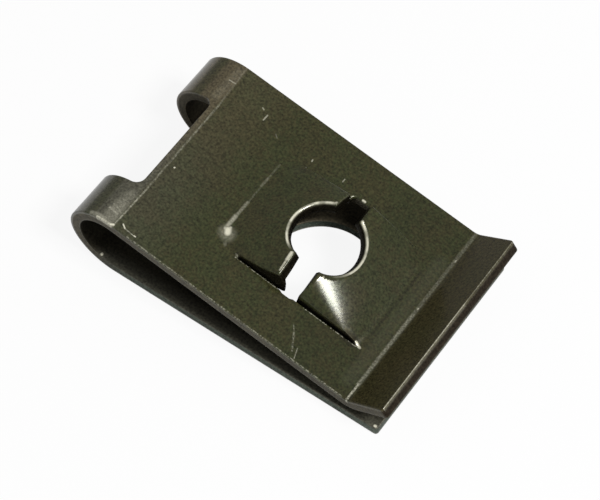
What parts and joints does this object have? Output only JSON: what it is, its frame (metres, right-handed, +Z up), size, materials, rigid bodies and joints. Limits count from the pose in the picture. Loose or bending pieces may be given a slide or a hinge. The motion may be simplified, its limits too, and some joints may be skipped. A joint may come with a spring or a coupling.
{
  "type": "u clip speed nut",
  "caption": "Folded spring steel clip that slips over a panel's edge and holds a tapping screw in a lanced thread impression.",
  "frame": {"origin": "axis of the lower leaf's clearance hole, on the underside of that leaf", "axes": "+X from the fold to the open end of the clip, +Y across the clip, +Z up from the lower leaf to the upper leaf"},
  "size_m": [0.0215, 0.0126, 0.0055],
  "materials": {
    "spring_steel": "oiled dark phosphate"
  },
  "bodies": {
    "root": {"speed_nut": "spring_steel"}
  },
  "joints": []
}
